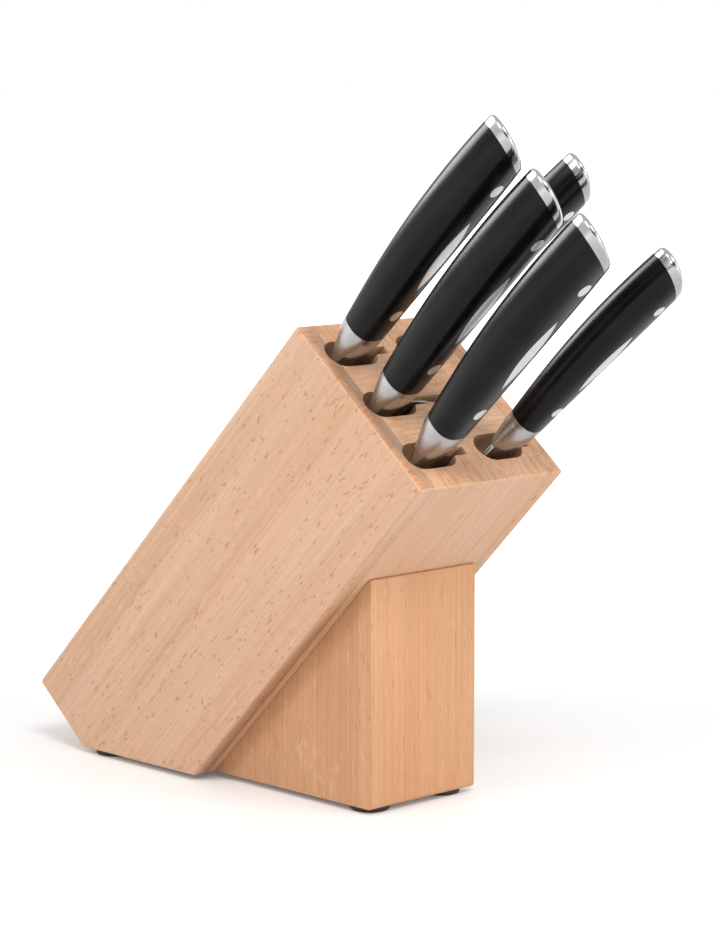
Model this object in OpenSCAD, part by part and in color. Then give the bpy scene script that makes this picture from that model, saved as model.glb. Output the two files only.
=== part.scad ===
// Leaning beech knife block on a wedge-shaped support, with five knives in it.
//
// Frame: +Z is up, the block leans towards +X, and the blades' edges face +Y.
// The origin is under the middle of the whole object's box, on the surface it
// stands on. Millimetres.
//
// Two local frames do most of the work. In the block frame, X runs up the lean,
// Y across the block and Z square to the lean, from the underside to the back.
// In a knife's frame, X runs out along the grip from the joint between bolster
// and grip, Y points to the edge side and Z to the blade's right flat.

/* [Block] */
// Angle between the block's length and the surface it stands on
lean = 45; // [42:1:48]
// Width of the block across its two side boards
block_w = 85; // [82:1:110]
// Thickness of the block, square to the knives
block_t = 96; // [94:1:120]
// Length of the underside, from the table edge to the end with the slots
underside_l = 201; // [195:1:260]
// Distance along the lean from the table edge back to the butt end
butt_l = 50.3; // [40:0.1:60]
// Angle by which both ends are sawn off square
end_cut = 5; // [0:0.5:8]
// Thickness of each side board
side_board_t = 8.5; // [7:0.5:9]
// Radius of the rounded corner at the bottom of the butt end
butt_corner_r = 4; // [2:0.5:8]

/* [Support] */
// Distance from the table edge to the front of the support
support_l = 100; // [80:1:125]
// Width of the support
support_w = 62.7; // [50:0.1:80]
// Distance of the support's middle from the block's middle
support_shift = 1.75; // [-3:0.25:3]
// Radius of the support's corner at the bottom front
support_corner_r = 2; // [0.5:0.5:6]
// Diameter of the dowels between support and block
dowel_d = 10; // [6:0.5:12]
// Depth of the dowel holes in the block
dowel_in_block = 11; // [6:1:12]
// Depth of the dowel holes in the support
dowel_in_support = 22; // [15:1:26]

/* [Feet] */
// Diameter of a rubber foot
foot_d = 17; // [12:0.5:20]
// Height of a foot under the wood
foot_h = 2.5; // [1.5:0.5:5]
// Diameter of the stem that is pushed into the wood
foot_stem_d = 5; // [3:0.5:8]
// Length of the stem
foot_stem_l = 7; // [4:0.5:10]
// Distance from a foot's middle to the front edge it stands by
foot_inset_x = 11; // [10:0.5:20]
// Distance from a foot's middle to the side edge it stands by
foot_inset_y = 10; // [9:0.5:16]

/* [Slots and pockets] */
// Height of the lowest slot's floor above the underside
first_slot_u = 16; // [15:0.5:20]
// Distance from one row of slots to the next
row_pitch = 30; // [26:0.5:34]
// Thickness of the slots
slot_t = 4.4; // [3.6:0.1:5]
// Width of the large knives' slots
large_slot_w = 30.9; // [30:0.1:32]
// Width of the middle row's slot, for the broad blade
broad_slot_w = 51; // [48:0.5:60]
// Width of the small knives' slots at the mouth
small_slot_w = 28; // [26:0.5:29]
// Angle by which a small knife's slot widens inwards
small_slot_flare = 3; // [2.5:0.5:4]
// Free length of slot past a blade's tip
slot_spare = 8; // [4:1:12]
// Width of the round-ended pockets at the slots' mouths
pocket_t = 14.8; // [14:0.2:17]
// Length of a large knife's pocket
large_pocket_l = 27.5; // [27:0.5:30]
// Length of a small knife's pocket
small_pocket_l = 25.5; // [25:0.5:27]
// Depth of the pockets, measured at the knife
pocket_deep = 13; // [10:0.5:18]
// Distance by which a large pocket runs into the side board
pocket_into_side = 3.6; // [2:0.1:5]

/* [Grips] */
// Length of a large grip with its end cap, along its middle
large_grip_l = 111.5; // [100:0.5:130]
// Length of a small grip with its end cap, along its middle
small_grip_l = 94.5; // [85:0.5:105]
// Width of a large grip at the bolster
large_neck_w = 19.6; // [17:0.2:22]
// Width of a large grip where it is widest
large_belly_w = 27.8; // [24:0.2:28]
// Width of a large grip at its end
large_end_w = 24.2; // [18:0.2:26]
// Thickness of a large grip at the bolster
large_neck_t = 16.2; // [14:0.2:18]
// Thickness of a large grip where it is thickest
large_belly_t = 21.6; // [17:0.2:22]
// Thickness of a large grip at its end
large_end_t = 20.6; // [17:0.2:22]
// Width of a small grip at the bolster
small_neck_w = 16.8; // [14:0.2:18]
// Width of a small grip where it is widest
small_belly_w = 27; // [20:0.5:27]
// Width of a small grip at its end
small_end_w = 21; // [16:0.5:23]
// Thickness of a small grip at the bolster
small_neck_t = 13.6; // [11:0.2:15]
// Thickness of a small grip where it is thickest
small_belly_t = 20; // [15:0.5:21]
// Thickness of a small grip at its end
small_end_t = 18; // [14:0.5:20]
// Thickness of the end caps
cap_t = 6; // [4:0.5:9]
// Slant of the end caps, longer on the spine side
cap_slant = 43; // [0:1:45]
// Rounding of the end caps' outer edge
cap_round = 2.2; // [0.8:0.2:3]
// Diameter of the rivets
rivet_d = 6.6; // [5:0.2:8]
// Length of the metal inlays
inlay_l = 41.5; // [34:0.5:50]
// Width of the metal inlays
inlay_w = 10.4; // [8:0.2:12]
// Depth of the metal inlays in the grip
inlay_t = 2; // [1.5:0.1:2.5]

/* [Blades] */
// Length of the bread knife's blade
bread_blade_l = 205; // [180:5:215]
// Length of the chef's knife's blade
chef_blade_l = 200; // [160:5:205]
// Length of the carving knife's blade
carving_blade_l = 178; // [150:2:180]
// Length of the utility knife's blade
utility_blade_l = 112; // [100:2:120]
// Length of the paring knife's blade
paring_blade_l = 88; // [75:1:95]
// Width of the bread knife's blade
bread_blade_w = 27; // [24:0.5:28]
// Width of the chef's knife's blade
chef_blade_w = 46; // [40:0.5:48]
// Width of the carving knife's blade
carving_blade_w = 26; // [22:0.5:27]
// Width of the utility knife's blade
utility_blade_w = 18; // [15:0.5:19]
// Width of the paring knife's blade
paring_blade_w = 17; // [14:0.5:18]
// Thickness of the large blades at the spine
large_blade_t = 2.5; // [2:0.1:3]
// Thickness of the small blades at the spine
small_blade_t = 1.9; // [1.5:0.1:2.5]
// Thickness of the tangs inside the grips
tang_t = 3; // [2:0.2:4]
// Width of the tangs inside the grips
tang_w = 9; // [8.5:0.5:11]

/* [How the knives sit] */
// Height of the bread knife's bolster joint above the end face
bread_stand = 16; // [12:0.5:22]
// Height of the chef's knife's bolster joint above the end face
chef_stand = 14.5; // [12:0.5:22]
// Height of the carving knife's bolster joint above the end face
carving_stand = 19; // [12:0.5:22]
// Height of the utility knife's bolster joint above the end face
utility_stand = 12.5; // [12:0.5:20]
// Height of the paring knife's bolster joint above the end face
paring_stand = 15.5; // [12:0.5:20]
// Tilt of the carving knife in its slot, towards the edge side
carving_tilt = -1; // [-1.5:0.25:0.5]
// Tilt of the utility knife in its slot, towards the edge side
utility_tilt = 6.5; // [5:0.25:7]
// Tilt of the paring knife in its slot, towards the edge side
paring_tilt = 7.5; // [6:0.25:8]

/* [Hidden] */

// Clearances
rest_gap = 0.3;      // between a blade or bolster and the wood it rests on
spine_gap = 0.5;     // between a blade's spine and the end of its slot
fit_gap = 0.1;       // round dowels, stems, tangs, rivets and inlays
past = 20;           // how far cutting shapes run past a face
heel_deep = 5;       // depth of a blade's heel below the end face
edge_t = 0.3;        // thickness of a blade at its edge

beech = "#d9a779";
beech_side = "#dfb188";
beech_dark = "#cf976a";
rubber_black = "#1c1c1c";
grip_black = "#17181b";
steel = "#c9cbcd";
polished = "#dcdee0";

// ---------------------------------------------------------------- knives
// One row of values for each knife: row of slots, column, stand above the end
// face, tilt, blade length, blade width, tip height as a share of the width,
// where the edge and the spine start to curve, and the number of scallops.
bread = 0;
chef = 1;
carving = 2;
utility = 3;
paring = 4;
LARGE = 0;
SMALL = 1;
knives = [
  [2, LARGE, bread_stand, 0, bread_blade_l, bread_blade_w, 0.25, 0.86, 0.90, 18],
  [1, LARGE, chef_stand, 0, chef_blade_l, chef_blade_w, 0.10, 0.25, 0.55, 0],
  [0, LARGE, carving_stand, carving_tilt, carving_blade_l, carving_blade_w, 0.30, 0.62, 0.70, 0],
  [2, SMALL, utility_stand, utility_tilt, utility_blade_l, utility_blade_w, 0.40, 0.50, 0.50, 0],
  [0, SMALL, paring_stand, paring_tilt, paring_blade_l, paring_blade_w, 0.50, 0.40, 0.35, 0]
];
function k_row(k) = knives[k][0];
function k_size(k) = knives[k][1];
function k_stand(k) = knives[k][2];
function k_tilt(k) = knives[k][3];
function k_blade_l(k) = knives[k][4];
function k_blade_w(k) = knives[k][5];
function k_tip(k) = knives[k][6];
function k_belly_from(k) = knives[k][7];
function k_spine_from(k) = knives[k][8];
function k_scallops(k) = knives[k][9];
function k_blade_t(k) = k_size(k) == LARGE ? large_blade_t : small_blade_t;

// ---------------------------------------------------------------- block frame
half_w = block_w / 2;
core_half_w = half_w - side_board_t;
slot_left_y = -core_half_w;
small_slot_right_y = core_half_w;
large_pocket_y = slot_left_y - pocket_into_side + large_pocket_l / 2;
small_pocket_y = small_slot_right_y - 4.1 - small_pocket_l / 2;

function face_s(u) = underside_l - u * tan(end_cut);
function butt_s(u) = -butt_l - u * tan(end_cut);
function slot_floor_u(row) = first_slot_u + row * row_pitch;
function seam_u(row) = slot_floor_u(row) + slot_t;

// Corner between the butt end and the bottom cut
heel_u = butt_l / (1 / tan(lean) - tan(end_cut));
block_corners = [
  [0, 0], [underside_l, 0], [face_s(block_t), block_t],
  [butt_s(block_t), block_t], [-heel_u / tan(lean), heel_u]
];
block_radii = [1, 1, 1, 1.8, butt_corner_r];
support_corners = [[1.5, 0], [support_l, 0], [support_l, support_l * tan(lean)], [1.5, 1.5 * tan(lean)]];
support_radii = [0.3, support_corner_r, 0.8, 0.3];

// A knife's place in the block frame
function k_u(k) = slot_floor_u(k_row(k)) + rest_gap + k_blade_t(k) / 2;
function k_s(k) = face_s(k_u(k)) + k_stand(k);
large_axis_y = slot_left_y + 6.7;
small_axis_y = small_slot_right_y - 12.3;
function k_y(k) = k_size(k) == LARGE ? large_axis_y : small_axis_y;

// ---------------------------------------------------------------- grip form
// Half width, half thickness and offset of the grip's section at t, which runs
// from 0 at the bolster to 1 at the end.
swell_at = 0.72;      // where the grip is widest
arch = 1.7;           // how far the middle of the grip rises towards the spine
drop = 2.5;           // how far its end falls towards the edge side
egg = 0.16;           // how much thinner the section is on the edge side
roundness = 0.88;     // exponent of the section: 1 is an ellipse
sides = 28;           // points round one section
grip_rings = 13;
cap_rings = 5;

function rise(t) = t < swell_at ? sin(90 * t / swell_at) : 1;
function fall(t) = t < swell_at ? 0 : pow((t - swell_at) / (1 - swell_at), 2);
function swell(neck, belly, end, t) = neck + (belly - neck) * rise(t) - (belly - end) * fall(t);
function half_width(size, t) = size == LARGE
  ? swell(large_neck_w, large_belly_w, large_end_w, t) / 2
  : swell(small_neck_w, small_belly_w, small_end_w, t) / 2;
function half_thick(size, t) = size == LARGE
  ? swell(large_neck_t, large_belly_t, large_end_t, t) / 2
  : swell(small_neck_t, small_belly_t, small_end_t, t) / 2;
function offset_y(t) = -arch * sin(180 * t) + drop * t * t * t;
function slant(t) = cap_slant * t * t;
function grip_l(size) = size == LARGE ? large_grip_l : small_grip_l;

function round_cos(a) = sign(cos(a)) * pow(abs(cos(a)), roundness);
function round_sin(a) = sign(sin(a)) * pow(abs(sin(a)), roundness);
// One closed section: middle at [x, y], half sizes w and h, leaning back by tilt
function section(x, y, w, h, tilt) = [
  for (i = [0:sides - 1])
    let (a = 360 * i / sides, v = w * round_cos(a), u = h * (1 - egg * cos(a)) * round_sin(a))
      [x - v * tan(tilt), y + v, u]
];
function grip_section(size, t, inset = 0) = section(
  t * grip_l(size), offset_y(t),
  half_width(size, t) - inset, half_thick(size, t) - inset, slant(t)
);
// Where the grip ends and its cap begins
function cap_from(size) = 1 - cap_t / grip_l(size);
function grip_form(size) = [
  for (i = [0:grip_rings]) grip_section(size, cap_from(size) * i / grip_rings)
];
function cap_form(size) = [
  grip_section(size, cap_from(size)),
  for (i = [0:cap_rings])
    let (a = 90 * i / cap_rings)
      grip_section(size, 1 - cap_round * (1 - sin(a)) / grip_l(size), cap_round * (1 - cos(a)))
];

// A closed solid through a list of sections with the same number of points
module skin(rings) {
  n = len(rings[0]);
  last = len(rings) - 1;
  polyhedron(
    points = [for (ring = rings) for (p = ring) p],
    faces = [
      [for (i = [0:n - 1]) i],
      [for (i = [0:n - 1]) last * n + n - 1 - i],
      for (r = [0:last - 1]) for (i = [0:n - 1])
        let (j = (i + 1) % n, low = r * n, high = low + n)
          each [[low + i, high + i, high + j], [low + i, high + j, low + j]]
    ]
  );
}

// ---------------------------------------------------------------- placing
function to_block(k, p) = [
  k_s(k) + p[0] * cos(k_tilt(k)) - p[1] * sin(k_tilt(k)),
  k_y(k) + p[0] * sin(k_tilt(k)) + p[1] * cos(k_tilt(k)),
  k_u(k) + p[2]
];
function world_x(p) = p[0] * cos(lean) - p[2] * sin(lean);
grip_points = [
  for (k = [bread:paring]) for (ring = cap_form(k_size(k))) for (p = ring) to_block(k, p)
];
place_x = -(max([for (p = grip_points) world_x(p)]) + world_x([butt_s(block_t), 0, block_t])) / 2;
place_y = -(max([for (p = grip_points) p[1]]) + min(-half_w, min([for (p = grip_points) p[1]]))) / 2;

module block_frame() {
  translate([place_x, place_y, foot_h])
    rotate([0, -lean, 0])
      children();
}
module level_frame() {
  translate([place_x, place_y, foot_h])
    children();
}
module knife_frame(k) {
  block_frame()
    translate([k_s(k), k_y(k), k_u(k)])
      rotate([0, 0, k_tilt(k)])
        children();
}

// ---------------------------------------------------------------- wood
function unit(v) = v / norm(v);
// Points of the arc that rounds corner b between a and c to radius r
function corner_arc(a, b, c, r, steps) =
  let (
    to_a = unit(a - b),
    to_c = unit(c - b),
    half = acos(to_a * to_c) / 2,
    centre = b + unit(to_a + to_c) * r / sin(half),
    from = b + to_a * r / tan(half) - centre,
    sweep = 180 - 2 * half
  )
  [for (i = [0:steps]) let (a = sweep * i / steps)
    centre + [from[0] * cos(a) - from[1] * sin(a), from[0] * sin(a) + from[1] * cos(a)]];
function rounded(corners, radii, steps = 5) =
  let (n = len(corners))
  [for (i = [0:n - 1])
    each corner_arc(corners[(i + n - 1) % n], corners[i], corners[(i + 1) % n], radii[i], steps)];

// A prism over an outline in X and Z, between two places across the block
module prism(outline, from_y, to_y) {
  translate([0, to_y, 0])
    rotate([90, 0, 0])
      linear_extrude(to_y - from_y)
        polygon(outline);
}

block_outline = rounded(block_corners, block_radii);

// Slot of knife k in the block frame: an outline across the block, cut upwards
// from the slot's floor to the seam
module slot(k) {
  mouth = face_s(slot_floor_u(k_row(k))) + past;
  deep = k_s(k) - k_stand(k) - heel_deep - k_blade_l(k) - slot_spare;
  wide = k == chef ? broad_slot_w : large_slot_w;
  flare = (mouth - past - deep) * tan(small_slot_flare);
  translate([0, 0, slot_floor_u(k_row(k))])
    linear_extrude(slot_t)
      polygon(k_size(k) == LARGE
        ? [[deep, slot_left_y], [mouth, slot_left_y],
           [mouth, slot_left_y + wide], [deep, slot_left_y + wide]]
        : [[deep, small_slot_right_y - small_slot_w - flare],
           [mouth - past, small_slot_right_y - small_slot_w],
           [mouth, small_slot_right_y - small_slot_w],
           [mouth, small_slot_right_y], [deep, small_slot_right_y]]);
}

function pocket_floor_s(k) = k_s(k) - k_stand(k) - pocket_deep;
module pocket(k) {
  y = k_size(k) == LARGE ? large_pocket_y : small_pocket_y;
  run = (k_size(k) == LARGE ? large_pocket_l : small_pocket_l) - pocket_t;
  length = face_s(0) + past - pocket_floor_s(k);
  translate([pocket_floor_s(k), y, slot_floor_u(k_row(k)) + slot_t / 2]) {
    for (side = [-1, 1])
      translate([0, side * run / 2, 0])
        rotate([0, 90, 0])
          cylinder(d = pocket_t, h = length, $fn = 64);
    translate([0, -run / 2, -pocket_t / 2])
      cube([length, run, pocket_t]);
  }
}

dowel_s = [45, 105];
module dowels(gap = 0) {
  for (s = dowel_s)
    translate([s, support_shift, -dowel_in_support - gap])
      cylinder(d = dowel_d + 2 * gap, h = dowel_in_support + dowel_in_block + 2 * gap, $fn = 48);
}

// Middles of the feet: front two under the support, rear two under the block
front_foot_x = support_l - foot_inset_x;
front_foot_y = support_w / 2 - foot_inset_y;
rear_foot_x = world_x([-heel_u / tan(lean), 0, heel_u]) + foot_inset_x;
rear_foot_y = half_w - foot_inset_y;
foot_places = [
  [front_foot_x, support_shift - front_foot_y], [front_foot_x, support_shift + front_foot_y],
  [rear_foot_x, -rear_foot_y], [rear_foot_x, rear_foot_y]
];
module stem_holes() {
  for (p = foot_places)
    translate([p[0], p[1], -1])
      cylinder(d = foot_stem_d + 2 * fit_gap, h = foot_stem_l + fit_gap + 1, $fn = 32);
}
module stem_holes_in_block() {
  rotate([0, lean, 0])
    stem_holes();
}

module wood_cuts() {
  for (k = [bread:paring]) {
    slot(k);
    pocket(k);
  }
  dowels(fit_gap);
  stem_holes_in_block();
}

// The side board on one side of the block: -1 is left, 1 is right
module side_board(side) {
  color(beech_side)
    block_frame()
      difference() {
        prism(block_outline, side > 0 ? core_half_w : -half_w, side > 0 ? half_w : -core_half_w);
        for (k = [bread:paring])
          pocket(k);
        stem_holes_in_block();
      }
}

// A core board between two heights above the underside
module core_board(low, high) {
  color(beech)
    block_frame()
      difference() {
        intersection() {
          prism(block_outline, -core_half_w, core_half_w);
          translate([butt_s(block_t) - past, -core_half_w - past, low])
            cube([underside_l + past - butt_s(block_t) + past, 2 * (core_half_w + past), high - low]);
        }
        wood_cuts();
      }
}

module support() {
  color(beech_dark)
    level_frame()
      difference() {
        prism(rounded(support_corners, support_radii),
          support_shift - support_w / 2, support_shift + support_w / 2);
        stem_holes();
        rotate([0, -lean, 0])
          dowels(fit_gap);
      }
}

module support_dowels() {
  color(beech)
    block_frame()
      dowels();
}

module foot(i) {
  rim = 0.6;
  color(rubber_black)
    level_frame()
      translate([foot_places[i][0], foot_places[i][1], -foot_h])
        rotate_extrude($fn = 48)
          polygon([[0, 0], [foot_d / 2 - rim, 0], [foot_d / 2, rim], [foot_d / 2, foot_h],
                   [foot_stem_d / 2, foot_h], [foot_stem_d / 2, foot_h + foot_stem_l],
                   [0, foot_h + foot_stem_l]]);
}

// ---------------------------------------------------------------- knives
// The bolster runs from the grip down to the pocket's floor
bolster_foot_t = 5.4;       // its thickness there, more than the slot's
bolster_rings = 8;
function bolster_l(k) =
  k_stand(k) + pocket_deep - rest_gap - half_width(k_size(k), 0) * sin(abs(k_tilt(k)));
// Spine line of the blade in the knife's frame
function spine_y(k) = k_size(k) == LARGE
  ? slot_left_y + spine_gap - k_y(k) + (k_tilt(k) == 0 ? 0 : 1)
  : -k_blade_w(k) / 2;
function ease(t) = (1 - cos(180 * t)) / 2;
function bolster_form(k) =
  let (
    neck_w = half_width(k_size(k), 0),
    neck_t = half_thick(k_size(k), 0),
    foot_low = spine_y(k),
    foot_high = neck_w - 1,
    foot_w = (foot_high - foot_low) / 2
  )
  [for (i = [0:bolster_rings])
    let (t = i / bolster_rings, e = pow(t, 1.3))
      section(-bolster_l(k) * (1 - t),
        (foot_high + foot_low) / 2 * (1 - e), foot_w + (neck_w - foot_w) * e,
        bolster_foot_t / 2 + (neck_t - bolster_foot_t / 2) * ease(e), 0)];

// Outline of a blade from heel to tip, in the knife's frame
blade_steps = 24;
function past_start(t, from) = t < from ? 0 : (t - from) / (1 - from);
function edge_line(k, t) = k_blade_w(k) * (1 - (1 - k_tip(k)) * pow(past_start(t, k_belly_from(k)), 2));
function spine_line(k, t) = k_blade_w(k) * k_tip(k) * pow(past_start(t, k_spine_from(k)), 2);
function scallop(k, t) = k_scallops(k) == 0 ? 0
  : t > k_belly_from(k) ? 0
  : 0.9 * abs(sin(180 * k_scallops(k) * t / k_belly_from(k)));
function heel_x(k) = -k_stand(k) - heel_deep;
function blade_outline(k) =
  let (
    x0 = heel_x(k),
    y0 = spine_y(k),
    edge_steps = k_scallops(k) == 0 ? blade_steps : 6 * k_scallops(k)
  )
  [
    [x0 + 6, y0], [x0 + 6, y0 + k_blade_w(k) * 0.5], [x0 + 1.5, y0 + k_blade_w(k) - 1.5],
    for (i = [0:edge_steps - 1])
      let (t = i / edge_steps)
        [x0 - k_blade_l(k) * t, y0 + edge_line(k, t) - scallop(k, t)],
    for (i = [blade_steps:-1:0])
      let (t = k_spine_from(k) + (1 - k_spine_from(k)) * i / blade_steps)
        [x0 - k_blade_l(k) * t, y0 + spine_line(k, t)]
  ];

tang_into_cap = 2.5;
function tang_end(k) = cap_from(k_size(k)) * grip_l(k_size(k)) + tang_into_cap;
module tang(k, gap = 0) {
  translate([-1 - gap, -tang_w / 2 - gap, -tang_t / 2 - gap])
    cube([tang_end(k) + 1 + 2 * gap, tang_w + 2 * gap, tang_t + 2 * gap]);
}

rivet_t = [0.165, 0.845];   // places of the rivets along the grip
module rivet_bars(k, gap = 0) {
  for (t = rivet_t)
    translate([t * grip_l(k_size(k)), offset_y(t), -past])
      cylinder(d = rivet_d + 2 * gap, h = 2 * past, $fn = 40);
}

module blade(k) {
  color(steel)
    knife_frame(k)
      difference() {
        union() {
          skin(bolster_form(k));
          intersection() {
            translate([0, 0, -large_blade_t])
              linear_extrude(2 * large_blade_t)
                polygon(blade_outline(k));
            rotate([90, 0, -90])
              linear_extrude(k_blade_l(k) + 2 * past)
                polygon([
                  [-spine_y(k), -k_blade_t(k) / 2], [-spine_y(k), k_blade_t(k) / 2],
                  [-spine_y(k) - k_blade_w(k), edge_t / 2], [-spine_y(k) - k_blade_w(k), -edge_t / 2]
                ]);
          }
          tang(k);
        }
        rivet_bars(k, fit_gap);
      }
}

// A lens between two arcs that cross at the inlay's ends
module lens(gap = 0) {
  half_l = inlay_l / 2 + gap;
  half_h = inlay_w / 2 + gap;
  r = (half_l * half_l + half_h * half_h) / (2 * half_h);
  intersection_for (side = [-1, 1])
    translate([0, side * (r - half_h)])
      circle(r = r, $fn = 180);
}
inlay_t_at = 0.5;           // place of an inlay's middle along the grip
// The inlays' space: two lens-shaped plates, one under each flat of the grip
module inlay_bars(k, gap = 0) {
  t = inlay_t_at;
  size = k_size(k);
  shrink = size == LARGE ? 1 : grip_l(SMALL) / grip_l(LARGE);
  for (side = [-1, 1])
    mirror([0, 0, side > 0 ? 0 : 1])
      translate([t * grip_l(size), offset_y(t), half_thick(size, t) - inlay_t - gap])
        linear_extrude(past)
          scale([shrink, shrink])
            lens(gap);
}

module grip(k) {
  color(grip_black)
    knife_frame(k)
      difference() {
        skin(grip_form(k_size(k)));
        tang(k, fit_gap);
        rivet_bars(k, fit_gap);
        inlay_bars(k, fit_gap);
      }
}

module rivets(k) {
  color(steel)
    knife_frame(k)
      intersection() {
        skin(grip_form(k_size(k)));
        rivet_bars(k);
      }
}

module inlays(k) {
  color(polished)
    knife_frame(k)
      intersection() {
        skin(grip_form(k_size(k)));
        inlay_bars(k);
      }
}

module end_cap(k) {
  color(polished)
    knife_frame(k)
      difference() {
        skin(cap_form(k_size(k)));
        tang(k, fit_gap);
      }
}

side_board(-1);  // left_side_board
side_board(1);  // right_side_board
core_board(-past, seam_u(0));  // core_board_bottom
core_board(seam_u(0), seam_u(1));  // core_board_lower
core_board(seam_u(1), seam_u(2));  // core_board_upper
core_board(seam_u(2), block_t + past);  // core_board_top
support();
support_dowels();
foot(0);  // front_left_foot
foot(1);  // front_right_foot
foot(2);  // rear_left_foot
foot(3);  // rear_right_foot
blade(bread);  // bread_blade
grip(bread);  // bread_grip
rivets(bread);  // bread_rivets
inlays(bread);  // bread_inlays
end_cap(bread);  // bread_end_cap
blade(chef);  // chef_blade
grip(chef);  // chef_grip
rivets(chef);  // chef_rivets
inlays(chef);  // chef_inlays
end_cap(chef);  // chef_end_cap
blade(carving);  // carving_blade
grip(carving);  // carving_grip
rivets(carving);  // carving_rivets
inlays(carving);  // carving_inlays
end_cap(carving);  // carving_end_cap
blade(utility);  // utility_blade
grip(utility);  // utility_grip
rivets(utility);  // utility_rivets
inlays(utility);  // utility_inlays
end_cap(utility);  // utility_end_cap
blade(paring);  // paring_blade
grip(paring);  // paring_grip
rivets(paring);  // paring_rivets
inlays(paring);  // paring_inlays
end_cap(paring);  // paring_end_cap
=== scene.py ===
import math

import bmesh
import bpy
from mathutils import Matrix, Vector


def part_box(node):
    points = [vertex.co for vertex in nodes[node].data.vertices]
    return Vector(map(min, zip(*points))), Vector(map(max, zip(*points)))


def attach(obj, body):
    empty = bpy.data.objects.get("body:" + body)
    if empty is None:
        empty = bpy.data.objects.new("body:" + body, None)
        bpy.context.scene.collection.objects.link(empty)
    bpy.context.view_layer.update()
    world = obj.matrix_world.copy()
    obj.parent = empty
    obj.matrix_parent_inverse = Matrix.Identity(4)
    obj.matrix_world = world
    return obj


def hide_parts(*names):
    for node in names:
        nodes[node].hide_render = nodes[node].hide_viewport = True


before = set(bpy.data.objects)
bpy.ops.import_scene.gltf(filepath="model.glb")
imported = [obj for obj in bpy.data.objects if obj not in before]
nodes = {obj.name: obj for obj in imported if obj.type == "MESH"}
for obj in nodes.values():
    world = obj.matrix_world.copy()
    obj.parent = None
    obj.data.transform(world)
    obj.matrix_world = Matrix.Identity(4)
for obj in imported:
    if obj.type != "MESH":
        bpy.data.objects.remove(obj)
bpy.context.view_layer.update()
KNIVES = ("bread", "chef", "carving", "utility", "paring")
LEAN = math.radians(45)
along = Vector((math.cos(LEAN), 0, math.sin(LEAN)))
across = Vector((0, 1, 0))
thick_out = Vector((-math.sin(LEAN), 0, math.cos(LEAN)))
# Millimetres from the origin of the block's frame to the support's front and a side face
SUPPORT_FRONT = 100.0
HALF_WIDTH = 42.5
# The origin of the block's frame: its lower edge on the table, midway between the sides
BLOCK_AT = Vector((
    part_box("support")[1][0] * 1000 - SUPPORT_FRONT,
    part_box("right_side_board")[1][1] * 1000 - HALF_WIDTH,
    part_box("support")[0][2] * 1000,
))


# ------------------------------------------------------------ materials
class Nodes:
    """A short way to write a node tree."""

    def __init__(self, name, coords="Object"):
        self.mat = bpy.data.materials.new(name)
        self.mat.use_nodes = True
        self.tree = self.mat.node_tree
        self.tree.nodes.clear()
        self.out = self.add("ShaderNodeOutputMaterial")
        self.shader = self.add("ShaderNodeBsdfPrincipled")
        self.link(self.shader.outputs[0], self.out.inputs[0])
        self.place = self.add("ShaderNodeTexCoord").outputs[coords]

    def add(self, kind, **values):
        node = self.tree.nodes.new(kind)
        for key, value in values.items():
            setattr(node, key, value)
        return node

    def link(self, a, b):
        self.tree.links.new(a, b)

    def turned(self, rotation=(0, 0, 0), scale=(1, 1, 1), place=(0, 0, 0)):
        """Coordinates in metres, turned first and then stretched."""
        turn = self.add("ShaderNodeVectorRotate", rotation_type="EULER_XYZ")
        turn.inputs["Rotation"].default_value = rotation
        self.link(self.place, turn.inputs["Vector"])
        grow = self.add("ShaderNodeMapping")
        grow.inputs["Scale"].default_value = scale
        grow.inputs["Location"].default_value = place
        self.link(turn.outputs[0], grow.inputs[0])
        return grow.outputs[0]

    def noise(self, where, scale=1, detail=3, rough=0.5, distortion=0.0):
        node = self.add("ShaderNodeTexNoise")
        node.inputs["Scale"].default_value = scale
        node.inputs["Detail"].default_value = detail
        node.inputs["Roughness"].default_value = rough
        node.inputs["Distortion"].default_value = distortion
        self.link(where, node.inputs["Vector"])
        return node.outputs[0]

    def ramp(self, value, stops):
        node = self.add("ShaderNodeValToRGB")
        points = node.color_ramp.elements
        for i, (at, colour) in enumerate(stops):
            point = points[i] if i < 2 else points.new(at)
            point.position = at
            point.color = (*colour, 1) if len(colour) == 3 else colour
        self.link(value, node.inputs[0])
        return node.outputs[0]

    def mix(self, factor, a, b, kind="MIX"):
        node = self.add("ShaderNodeMix", data_type="RGBA", blend_type=kind)
        for socket, value in ((node.inputs[0], factor), (node.inputs[6], a), (node.inputs[7], b)):
            if isinstance(value, (float, int)):
                socket.default_value = value
            elif isinstance(value, tuple):
                socket.default_value = (*value, 1)
            else:
                self.link(value, socket)
        return node.outputs[2]

    def math(self, kind, a, b=0.0):
        node = self.add("ShaderNodeMath", operation=kind)
        for socket, value in ((node.inputs[0], a), (node.inputs[1], b)):
            if isinstance(value, (float, int)):
                socket.default_value = value
            else:
                self.link(value, socket)
        return node.outputs[0]

    def bump(self, height, strength, distance):
        node = self.add("ShaderNodeBump")
        node.inputs["Strength"].default_value = strength
        node.inputs["Distance"].default_value = distance
        self.link(height, node.inputs["Height"])
        self.link(node.outputs[0], self.shader.inputs["Normal"])

    def set(self, **values):
        for key, value in values.items():
            socket = self.shader.inputs[key.replace("_", " ")]
            socket.default_value = (*value, 1) if isinstance(value, tuple) else value


def grey(v):
    return (v, v, v)


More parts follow.
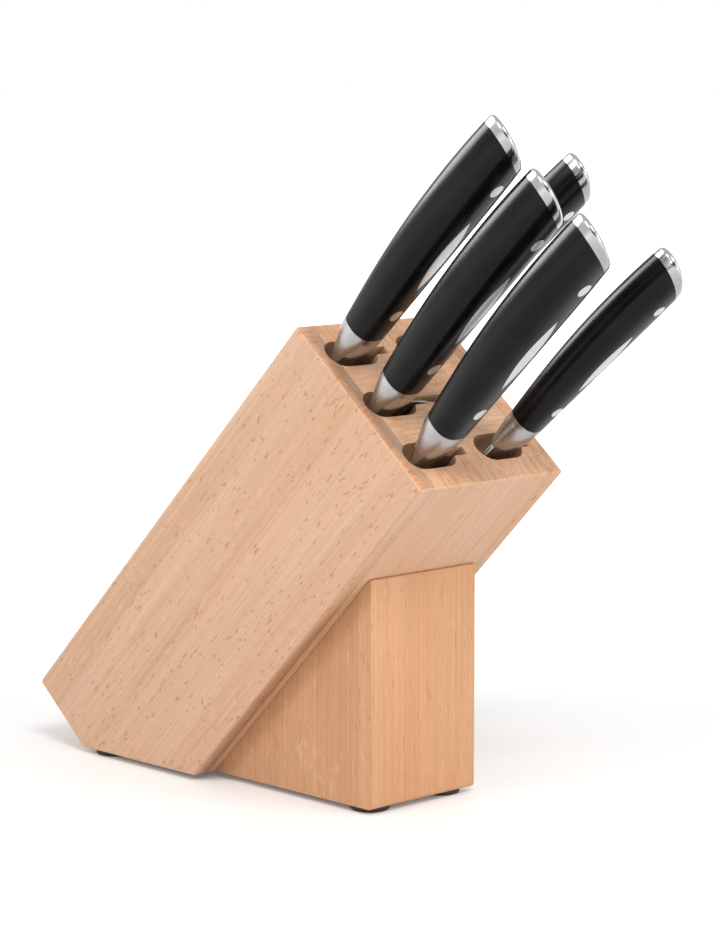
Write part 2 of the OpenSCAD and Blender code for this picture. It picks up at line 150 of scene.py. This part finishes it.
def beech(name, turn, place, tint=(1, 1, 1), flecks=0.55, pore_scale=(170, 1000, 1100), end=None):
    """Oiled beech: growth bands, fine lines and short brown flecks along local X."""
    m = Nodes(name)
    bands_at = m.turned(turn, (2.2, 24, 60), place)
    lines_at = m.turned(turn, (9, 900, 1000), place)
    pores_at = m.turned(turn, pore_scale, place)
    rays_at = m.turned(turn, (160, 2400, 520), place)
    bands = m.noise(bands_at, 1.0, 3, 0.55, 0.5)
    lines = m.noise(lines_at, 1.0, 3, 0.6)
    pores = m.noise(pores_at, 1.0, 2, 0.5)
    rays = m.noise(rays_at, 1.0, 1, 0.4)
    low = (0.60 * tint[0], 0.345 * tint[1], 0.200 * tint[2])
    high = (0.705 * tint[0], 0.445 * tint[1], 0.290 * tint[2])
    colour = m.ramp(bands, [(0.30, low), (0.70, high)])
    fine = m.ramp(lines, [(0.34, grey(0.82)), (0.60, grey(1.0))])
    colour = m.mix(0.75, colour, fine, "MULTIPLY")
    brown = m.ramp(pores, [(0.64, grey(0)), (0.69, grey(1))])
    colour = m.mix(m.math("MULTIPLY", brown, flecks), colour, (0.43, 0.20, 0.10))
    pale = m.ramp(rays, [(0.62, grey(0)), (0.75, grey(0.22))])
    colour = m.mix(pale, colour, (0.80, 0.55, 0.34))
    if end:
        face = m.add("ShaderNodeVectorMath", operation="DOT_PRODUCT")
        m.link(m.add("ShaderNodeNewGeometry").outputs["Normal"], face.inputs[0])
        face.inputs[1].default_value = along
        sawn = m.ramp(face.outputs["Value"], [(0.80, grey(0)), (0.92, grey(1))])
        rows = m.noise(m.turned(turn, end[0], place), 1.0, 2, 0.5, 0.3)
        rows = m.ramp(rows, [(0.40, (0.86, 0.79, 0.73)), (0.56, (1.0, 1.0, 1.0))])
        dots = m.noise(m.turned(turn, (40, 1900, 1900), place), 1.0, 2, 0.6)
        dots = m.ramp(dots, [(0.38, (0.91, 0.87, 0.83)), (0.60, (1.0, 1.0, 1.0))])
        grain = m.mix(1.0, m.mix(1.0, colour, rows, "MULTIPLY"), dots, "MULTIPLY")
        # end[1] multiplies the sawn end faces: partly the end grain's own tone, partly painted light that
        # lifts the shade the grips cast on the end face
        grain = m.mix(1.0, grain, end[1], "MULTIPLY")
        colour = m.mix(sawn, colour, grain)
    m.link(colour, m.shader.inputs["Base Color"])
    m.link(m.ramp(lines, [(0.3, grey(0.50)), (0.7, grey(0.40))]), m.shader.inputs["Roughness"])
    m.bump(lines, 0.12, 0.0004)
    m.set(Specular_IOR_Level=0.4)
    return m.mat


along_lean = (0, LEAN, 0)
SIDE_FLECKS = (230, 420, 560)
# Each end= gives the end-grain row scale and an end-face tint; tints above one are partly painted light
# offsetting the shade among the grips, highest on the core boards
WOODS = {
    "left_side_board": beech(
        "beech_left", along_lean, (0.3, 2.1, 0.4), (1, 1, 1), 0.7,
        SIDE_FLECKS, ((20, 60, 900), (1.08, 0.96, 0.86)),
    ),
    "right_side_board": beech(
        "beech_right", along_lean, (5.3, 0.2, 7.4), (1, 1, 1), 0.7,
        SIDE_FLECKS, ((20, 500, 160), (1.10, 1.06, 1.04)),
    ),
    "core_board_bottom": beech(
        "beech_bottom", along_lean, (1.3, 4.1, 2.4), (1, 1, 1), 0.45,
        end=((20, 620, 120), (1.14, 1.12, 1.10)),
    ),
    "core_board_lower": beech(
        "beech_lower", along_lean, (3.7, 8.2, 5.1), (1.02, 1.03, 1.03), 0.4,
        end=((20, 90, 700), (1.14, 1.12, 1.10)),
    ),
    "core_board_upper": beech(
        "beech_upper", along_lean, (6.1, 1.9, 9.3), (1.0, 1.0, 1.0), 0.4,
        end=((20, 70, 760), (1.10, 1.06, 1.04)),
    ),
    "core_board_top": beech(
        "beech_top", along_lean, (8.8, 6.4, 3.2), (0.98, 0.97, 0.96), 0.5,
        end=((20, 520, 140), (1.10, 1.06, 1.04)),
    ),
    "support": beech(
        "beech_support", (0, math.radians(90), 0), (2.2, 3.3, 1.1), (0.90, 0.76, 0.60), 0.95,
        (110, 1500, 1500),
    ),
    "support_dowels": beech("beech_dowels", along_lean, (1, 1, 1)),
}


def steel(name, colour, rough, turn, stretch, strength, spread=0.06):
    m = Nodes(name)
    fine = m.noise(m.turned(turn, stretch), 1.0, 3, 0.6)
    m.link(m.ramp(fine, [(0.3, grey(colour * 0.93)), (0.7, grey(colour))]), m.shader.inputs["Base Color"])
    m.link(
        m.ramp(fine, [(0.3, grey(rough - spread)), (0.7, grey(rough + spread))]),
        m.shader.inputs["Roughness"],
    )
    m.bump(fine, strength, 0.00005)
    m.set(Metallic=1.0)
    return m.mat


forged = steel("forged_steel", 0.42, 0.26, along_lean, (3200, 3200, 160), 0.25)
satin = steel("satin_steel", 0.66, 0.30, along_lean, (180, 3600, 3600), 0.2)
polished = steel("polished_steel", 0.42, 0.20, along_lean, (300, 600, 300), 0.0, 0.02)

g = Nodes("grip_black")
grain = g.noise(g.turned((0, 0, 0), (2600, 2600, 2600)), 1.0, 2, 0.5)
cloud = g.noise(g.turned((0, 0, 0), (60, 60, 60)), 1.0, 2, 0.5)
black = g.ramp(cloud, [(0.3, (0.003, 0.003, 0.004)), (0.7, (0.006, 0.006, 0.007))])
g.link(black, g.shader.inputs["Base Color"])
g.link(g.ramp(cloud, [(0.3, grey(0.22)), (0.7, grey(0.28))]), g.shader.inputs["Roughness"])
g.bump(grain, 0.08, 0.0001)
g.set(Specular_IOR_Level=0.15)
grip_black = g.mat

r = Nodes("rubber_black")
grain = r.noise(r.turned((0, 0, 0), (900, 900, 900)), 1.0, 3, 0.5)
r.link(r.ramp(grain, [(0.3, grey(0.012)), (0.7, grey(0.022))]), r.shader.inputs["Base Color"])
r.link(r.ramp(grain, [(0.3, grey(0.62)), (0.7, grey(0.75))]), r.shader.inputs["Roughness"])
r.bump(grain, 0.2, 0.0002)
rubber = r.mat


# ------------------------------------------------------------ pieces
def clean(node):
    """The node's mesh with its split vertices joined, as a bmesh."""
    bm = bmesh.new()
    bm.from_mesh(nodes[node].data)
    bmesh.ops.remove_doubles(bm, verts=bm.verts, dist=2e-6)
    return bm


def piece(node, bm, material, body, angle):
    mesh = bpy.data.meshes.new(node + "_visual")
    bm.to_mesh(mesh)
    bm.free()
    mesh.materials.append(material)
    mesh.polygons.foreach_set("use_smooth", [True] * len(mesh.polygons))
    mesh.set_sharp_from_angle(angle=math.radians(angle))
    obj = bpy.data.objects.new(node + "_visual", mesh)
    bpy.context.scene.collection.objects.link(obj)
    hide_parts(node)
    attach(obj, body)
    return obj


def eased(node, faces_y, width, material):
    """A board whose long edges round the given side faces are eased."""
    bm = clean(node)
    bmesh.ops.dissolve_limit(bm, angle_limit=math.radians(1), verts=bm.verts, edges=bm.edges)
    edges = [
        e
        for e in bm.edges
        if len(e.link_faces) == 2
        and e.calc_face_angle(0) > math.radians(30)
        and any(all(abs(v.co.y - y) < 1e-5 for v in e.verts) for y in faces_y)
    ]
    bmesh.ops.bevel(
        bm, geom=edges, offset=width, segments=4, profile=0.5, affect="EDGES", clamp_overlap=True
    )
    bmesh.ops.triangulate(bm, faces=[f for f in bm.faces if len(f.verts) > 4])
    return piece(node, bm, material, "block", 32)


EASE = 0.0011  # metres cut off the long edges
for name, faces in (("left_side_board", (0,)), ("right_side_board", (1,)), ("support", (0, 1))):
    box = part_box(name)
    eased(name, [box[i][1] for i in faces], EASE, WOODS[name])


def dress(node, material, angle):
    """Keeps the CAD node and gives it a material and smooth shading."""
    obj = nodes[node]
    obj.data.materials.clear()
    obj.data.materials.append(material)
    obj.data.polygons.foreach_set("use_smooth", [True] * len(obj.data.polygons))
    obj.data.set_sharp_from_angle(angle=math.radians(angle))


for name in ("core_board_bottom", "core_board_lower", "core_board_upper", "core_board_top", "support_dowels"):
    dress(name, WOODS[name], 30)
for name in ("front_left_foot", "front_right_foot", "rear_left_foot", "rear_right_foot"):
    dress(name, rubber, 30)
# The grips, their caps, rivets and inlays are made again as finer meshes on the
# form of the CAD solids, in millimetres along the grip, across it and through it.
SWELL_AT, ARCH, DROP, EGG, ROUND = 0.72, 1.7, 2.5, 0.16, 0.88
CAP_SLANT, CAP_ROUND, SIDES = 43.0, 2.2, 96
LARGE = dict(length=111.5, neck=(19.6, 16.2), belly=(27.8, 21.6), end=(24.2, 20.6), inlay=1.0)
SMALL = dict(length=94.5, neck=(16.8, 13.6), belly=(24.5, 18.2), end=(21.0, 17.6), inlay=0.85)
END_CUT, UNDERSIDE = math.tan(math.radians(5)), 201.0
FIRST_ROW, ROW_PITCH, SLOT_PLAY = 16.0, 30.0, 0.3
SLOT_LEFT, SLOT_RIGHT = -34.0, 34.0
LARGE_AXIS_IN, SMALL_AXIS_IN = 6.7, 12.3
LARGE_BLADE_T, SMALL_BLADE_T = 2.5, 1.9
# How far the joint of grip and bolster stands above the end face, for each knife
STAND = {"bread": 16.0, "chef": 14.5, "carving": 19.0, "utility": 12.5, "paring": 15.5}
# Where the spine lies across the knife, for each knife
SPINE = {"bread": -6.2, "chef": -6.2, "carving": -5.2, "utility": -9.0, "paring": -8.5}


def knife_place(knife, form, row):
    """The joint of grip and bolster in the block's frame, in millimetres."""
    blade_t = LARGE_BLADE_T if form is LARGE else SMALL_BLADE_T
    u = FIRST_ROW + ROW_PITCH * row + SLOT_PLAY + blade_t / 2
    y = SLOT_LEFT + LARGE_AXIS_IN if form is LARGE else SLOT_RIGHT - SMALL_AXIS_IN
    return (UNDERSIDE - u * END_CUT + STAND[knife], y, u)


# Form, place and tilt in degrees of each knife
PLACES = {
    "bread": (LARGE, knife_place("bread", LARGE, 2), 0.0),
    "chef": (LARGE, knife_place("chef", LARGE, 1), 0.0),
    "carving": (LARGE, knife_place("carving", LARGE, 0), -1.0),
    "utility": (SMALL, knife_place("utility", SMALL, 2), 6.5),
    "paring": (SMALL, knife_place("paring", SMALL, 0), 7.5),
}
CAP_T = 5.0
JOINT_T = 2.0  # how far the steel shows up the grip, past the CAD joint


def half(form, t, i):
    rise = math.sin(math.pi / 2 * t / SWELL_AT) if t < SWELL_AT else 1.0
    fall = 0.0 if t < SWELL_AT else ((t - SWELL_AT) / (1 - SWELL_AT)) ** 2
    neck, belly, end = form["neck"][i], form["belly"][i], form["end"][i]
    return (neck + (belly - neck) * rise - (belly - end) * fall) / 2


def middle_y(t):
    return -ARCH * math.sin(math.pi * t) + DROP * t**3


def tilt(t):
    return math.tan(math.radians(CAP_SLANT * t * t))


def power(v):
    return math.copysign(abs(v) ** ROUND, v)


def ring(form, t, inset=0.0):
    w, h = half(form, t, 0) - inset, half(form, t, 1) - inset
    points = []
    for i in range(SIDES):
        a = 2 * math.pi * i / SIDES
        v = w * power(math.cos(a))
        u = h * (1 - EGG * math.cos(a)) * power(math.sin(a))
        points.append(Vector((t * form["length"] - v * tilt(t), middle_y(t) + v, u)))
    return points


def height(form, x, y):
    """Half thickness of the grip over the point x, y."""
    t = x / form["length"]
    for _ in range(12):
        t = (x + (y - middle_y(t)) * tilt(t)) / form["length"]
    c = max(-1.0, min(1.0, (y - middle_y(t)) / half(form, t, 0)))
    cos = math.copysign(abs(c) ** (1 / ROUND), c)
    return half(form, t, 1) * (1 - EGG * cos) * math.sqrt(max(0.0, 1 - cos * cos)) ** ROUND


def to_row(knife, p):
    _, at, lean = PLACES[knife]
    a = math.radians(lean)
    s = at[0] + p.x * math.cos(a) - p.y * math.sin(a)
    y = at[1] + p.x * math.sin(a) + p.y * math.cos(a)
    return (BLOCK_AT + along * s + across * y + thick_out * (at[2] + p.z)) / 1000


def loft(knife, rings):
    bm = bmesh.new()
    rows = [[bm.verts.new(to_row(knife, p)) for p in row] for row in rings]
    for low_row, high_row in zip(rows, rows[1:]):
        for i in range(SIDES):
            j = (i + 1) % SIDES
            bm.faces.new((low_row[i], low_row[j], high_row[j], high_row[i]))
    bm.faces.new(rows[0][::-1])
    bm.faces.new(rows[-1])
    bmesh.ops.recalc_face_normals(bm, faces=bm.faces)
    return bm


BOLSTER_BELOW = 12.7  # how far the bolster reaches below the end face
BLADE_HALF = 2.7  # half thickness of the bolster where it meets the blade
OVER_CAD = 0.04  # the skin's height over the CAD solid


def add_bolster(knife, bm):
    """A finer skin over the bolster of the CAD solid, into the same mesh."""
    form, _, lean = PLACES[knife]
    low = SPINE[knife]
    neck_w, neck_t = half(form, 0, 0), half(form, 0, 1)
    length = STAND[knife] + BOLSTER_BELOW - neck_w * math.sin(math.radians(abs(lean)))
    high = neck_w - 1
    rings = []
    for i in range(33):
        t = i / 32
        e = t**1.3
        w = (high - low) / 2 * (1 - e) + neck_w * e + OVER_CAD
        h = BLADE_HALF + (neck_t - BLADE_HALF) * (1 - math.cos(math.pi * e)) / 2 + OVER_CAD
        row = []
        for k in range(SIDES):
            a = 2 * math.pi * k / SIDES
            u = h * (1 - EGG * math.cos(a)) * power(math.sin(a))
            v = (high + low) / 2 * (1 - e) + w * power(math.cos(a))
            row.append(Vector((-length * (1 - t), v, u)))
        rings.append(row)
    rings += [ring(form, JOINT_T / form["length"] * i / 4) for i in range(1, 5)]
    skin = loft(knife, rings)
    mesh = bpy.data.meshes.new("skin")
    skin.to_mesh(mesh)
    skin.free()
    bm.from_mesh(mesh)
    bpy.data.meshes.remove(mesh)


def plate(bm, knife, form, centre, outline, steps, sink):
    """A thin plate flush with the grip: rings of the outline shrunk towards its centre."""
    for side in (1, -1):
        rows = []
        for k in range(steps + 1):
            row = []
            for px, py in outline:
                x, y = centre[0] + px * k / steps, centre[1] + py * k / steps
                row.append(Vector((x, y, side * (height(form, x, y) + 0.02))))
                if k == 0:
                    break
            rows.append(row)
        rows.append([Vector((p.x, p.y, p.z - side * sink)) for p in rows[-1]])
        made = [[bm.verts.new(to_row(knife, p)) for p in row] for row in rows]
        n = len(outline)
        for i in range(n):
            bm.faces.new((made[0][0], made[1][i], made[1][(i + 1) % n]))
            for a, b in zip(made[1:], made[2:]):
                bm.faces.new((a[i], b[i], b[(i + 1) % n], a[(i + 1) % n]))
        bm.faces.new(made[-1])


def add_grip(knife):
    form = PLACES[knife][0]
    body = knife + "_knife"
    cut = 1 - CAP_T / form["length"]
    start = JOINT_T / form["length"]
    rings = [ring(form, start + (cut - start) * i / 64) for i in range(65)]
    name = knife + "_grip"
    piece(name, loft(knife, rings), grip_black, body, 50)
    rings = [ring(form, cut + (1 - CAP_ROUND / form["length"] - cut) * i / 5) for i in range(5)]
    for i in range(9):
        a = math.pi / 2 * i / 8
        t = 1 - CAP_ROUND * (1 - math.sin(a)) / form["length"]
        rings.append(ring(form, t, CAP_ROUND * (1 - math.cos(a))))
    name = knife + "_end_cap"
    piece(name, loft(knife, rings), polished, body, 50)
    bm = bmesh.new()
    for t in (0.165, 0.845):
        r = 3.2 * form["inlay"]
        circle = [(r * math.cos(math.pi * i / 24), r * math.sin(math.pi * i / 24)) for i in range(48)]
        plate(bm, knife, form, (t * form["length"], middle_y(t)), circle, 4, 0.6)
    bmesh.ops.recalc_face_normals(bm, faces=bm.faces)
    name = knife + "_rivets"
    piece(name, bm, satin, body, 40)
    bm = bmesh.new()
    l, h = 20.75 * form["inlay"], 3.7 * form["inlay"]
    lens = [(l * (1 - i / 24), h * (1 - (1 - i / 24) ** 2)) for i in range(48)]
    lens += [(-x, -y) for x, y in lens]
    plate(bm, knife, form, (0.5 * form["length"], middle_y(0.5)), lens, 10, 0.9)
    bmesh.ops.recalc_face_normals(bm, faces=bm.faces)
    name = knife + "_inlays"
    piece(name, bm, satin, body, 40)


for knife in KNIVES:
    add_grip(knife)
    bm = clean(knife + "_blade")
    add_bolster(knife, bm)
    piece(knife + "_blade", bm, forged, knife + "_knife", 24)


# ------------------------------------------------------------ stage
floor_mesh = bpy.data.meshes.new("floor")
reach = 30.0  # metres from the middle to each edge
corners = [(-reach, -reach, 0), (reach, -reach, 0), (reach, reach, 0), (-reach, reach, 0)]
floor_mesh.from_pydata(corners, [], [(0, 1, 2, 3)])
floor = bpy.data.objects.new("floor", floor_mesh)
bpy.context.scene.collection.objects.link(floor)
f = Nodes("floor")
f.set(Base_Color=(0.86, 0.86, 0.86), Roughness=0.55, Specular_IOR_Level=0.15)
path = f.add("ShaderNodeLightPath")
seen = f.math("MAXIMUM", path.outputs["Is Camera Ray"], path.outputs["Is Glossy Ray"])
seen = f.math("MAXIMUM", seen, path.outputs["Is Transmission Ray"])
far = f.add("ShaderNodeVectorMath", operation="LENGTH")
f.link(f.place, far.inputs[0])
glow = f.ramp(f.math("MULTIPLY", far.outputs["Value"], 0.4), [(0.10, grey(0.10)), (0.60, grey(1.0))])
f.link(f.math("MULTIPLY", seen, glow), f.shader.inputs["Emission Strength"])
f.set(Emission_Color=(1.0, 1.0, 1.0))
floor_mesh.materials.append(f.mat)

world = bpy.data.worlds.new("studio")
bpy.context.scene.world = world
world.use_nodes = True
tree = world.node_tree
tree.nodes.clear()
out = tree.nodes.new("ShaderNodeOutputWorld")
soft = tree.nodes.new("ShaderNodeBackground")
soft.inputs[0].default_value = (1.0, 1.0, 1.0, 1)
soft.inputs[1].default_value = 0.66
white = tree.nodes.new("ShaderNodeBackground")
white.inputs[0].default_value = (1.0, 1.0, 1.0, 1)
white.inputs[1].default_value = 1.0
ray = tree.nodes.new("ShaderNodeLightPath")
either = tree.nodes.new("ShaderNodeMath")
either.operation = "MAXIMUM"
both = tree.nodes.new("ShaderNodeMath")
both.operation = "MAXIMUM"
choose = tree.nodes.new("ShaderNodeMixShader")
tree.links.new(ray.outputs["Is Camera Ray"], either.inputs[0])
tree.links.new(ray.outputs["Is Glossy Ray"], either.inputs[1])
tree.links.new(either.outputs[0], both.inputs[0])
tree.links.new(ray.outputs["Is Transmission Ray"], both.inputs[1])
tree.links.new(both.outputs[0], choose.inputs[0])
tree.links.new(soft.outputs[0], choose.inputs[1])
tree.links.new(white.outputs[0], choose.inputs[2])
tree.links.new(choose.outputs[0], out.inputs[0])


def lamp(name, place, target, power, width, height):
    data = bpy.data.lights.new(name, "AREA")
    data.shape = "RECTANGLE"
    data.size = width
    data.size_y = height
    data.energy = power
    obj = bpy.data.objects.new(name, data)
    bpy.context.scene.collection.objects.link(obj)
    obj.location = place
    obj.rotation_euler = (Vector(place) - Vector(target)).to_track_quat("Z", "Y").to_euler()
    return obj


middle = (0.0, 0.0, 0.12)
lamp("key", (-0.3, -1.7, 1.2), middle, 8, 0.6, 0.6)
lamp("front", (1.2, -0.7, 1.6), middle, 19, 0.6, 0.6)
lamp("side", (1.5, 0.6, 0.6), middle, 9, 0.5, 0.9)


def card(name, place, target, width, height, glow=0.0):
    """A dark or glowing card that only shows in reflections."""
    mesh = bpy.data.meshes.new(name)
    w, h = width / 2, height / 2
    mesh.from_pydata([(-w, -h, 0), (w, -h, 0), (w, h, 0), (-w, h, 0)], [], [(0, 1, 2, 3)])
    obj = bpy.data.objects.new(name, mesh)
    bpy.context.scene.collection.objects.link(obj)
    obj.location = place
    obj.rotation_euler = (Vector(place) - Vector(target)).to_track_quat("Z", "Y").to_euler()
    c = Nodes(name)
    c.set(Base_Color=(0.01, 0.01, 0.01), Roughness=0.9, Specular_IOR_Level=0.0)
    c.set(Emission_Color=(1.0, 1.0, 1.0), Emission_Strength=glow)
    mesh.materials.append(c.mat)
    obj.visible_camera = False
    obj.visible_diffuse = False
    obj.visible_shadow = False
    return obj


card("flag_front", (0.9, -1.3, 0.45), middle, 1.1, 0.9)
card("glow_left", (-1.48, -0.6, 1.05), (0.05, 0.0, 0.2), 1.1, 0.8, 16.0)

# ------------------------------------------------------------ camera
back = Vector((0.71370, -0.68789, 0.13209)).normalized()
right = Vector((0.6940, 0.7200, 0.0)).normalized()
right = (right - back * right.dot(back)).normalized()
up = back.cross(right)
data = bpy.data.cameras.new("camera")
data.sensor_fit = "HORIZONTAL"
data.sensor_width = 36
data.lens = 146.9
camera = bpy.data.objects.new("camera", data)
bpy.context.scene.collection.objects.link(camera)
eye = BLOCK_AT / 1000 + Vector((0.9683, -0.8730, 0.3092))
camera.matrix_world = Matrix((
    (right.x, up.x, back.x, eye.x),
    (right.y, up.y, back.y, eye.y),
    (right.z, up.z, back.z, eye.z),
    (0, 0, 0, 1),
))
bpy.context.scene.camera = camera
bpy.context.scene.view_settings.view_transform = "Standard"
